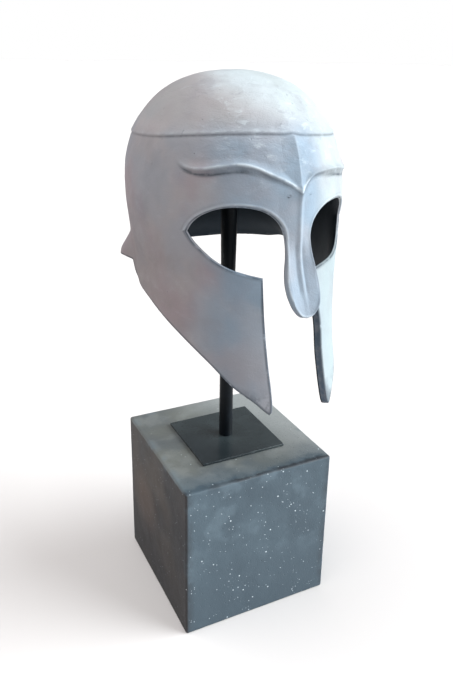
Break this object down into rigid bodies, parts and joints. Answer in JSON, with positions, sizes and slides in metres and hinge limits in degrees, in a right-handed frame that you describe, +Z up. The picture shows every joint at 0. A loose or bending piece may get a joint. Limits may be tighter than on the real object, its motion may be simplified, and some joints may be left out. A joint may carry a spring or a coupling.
{
  "type": "gladiator helmet on a display stand",
  "caption": "Closed-face helmet with almond eye openings, nasal, long cheek pieces and flared neck guard, held on a round post over a plate and a heavy square block.",
  "frame": {"origin": "centre of the block's underside, on the axis of the post", "axes": "+Z up, the helmet faces -Y, +X is the wearer's left"},
  "size_m": [0.2138, 0.3181, 0.611],
  "materials": {
    "whitewashed_cast": "matte whitewash over grey cast metal, edges worn dark, black inside",
    "black_paint": "satin black paint",
    "black_steel": "satin black steel",
    "speckled_stone": "dark blue-grey cast stone with pale specks"
  },
  "bodies": {
    "root": {"helmet_shell": "whitewashed_cast", "post": "black_paint", "base_plate": "black_steel", "stone_block": "speckled_stone"}
  },
  "joints": []
}
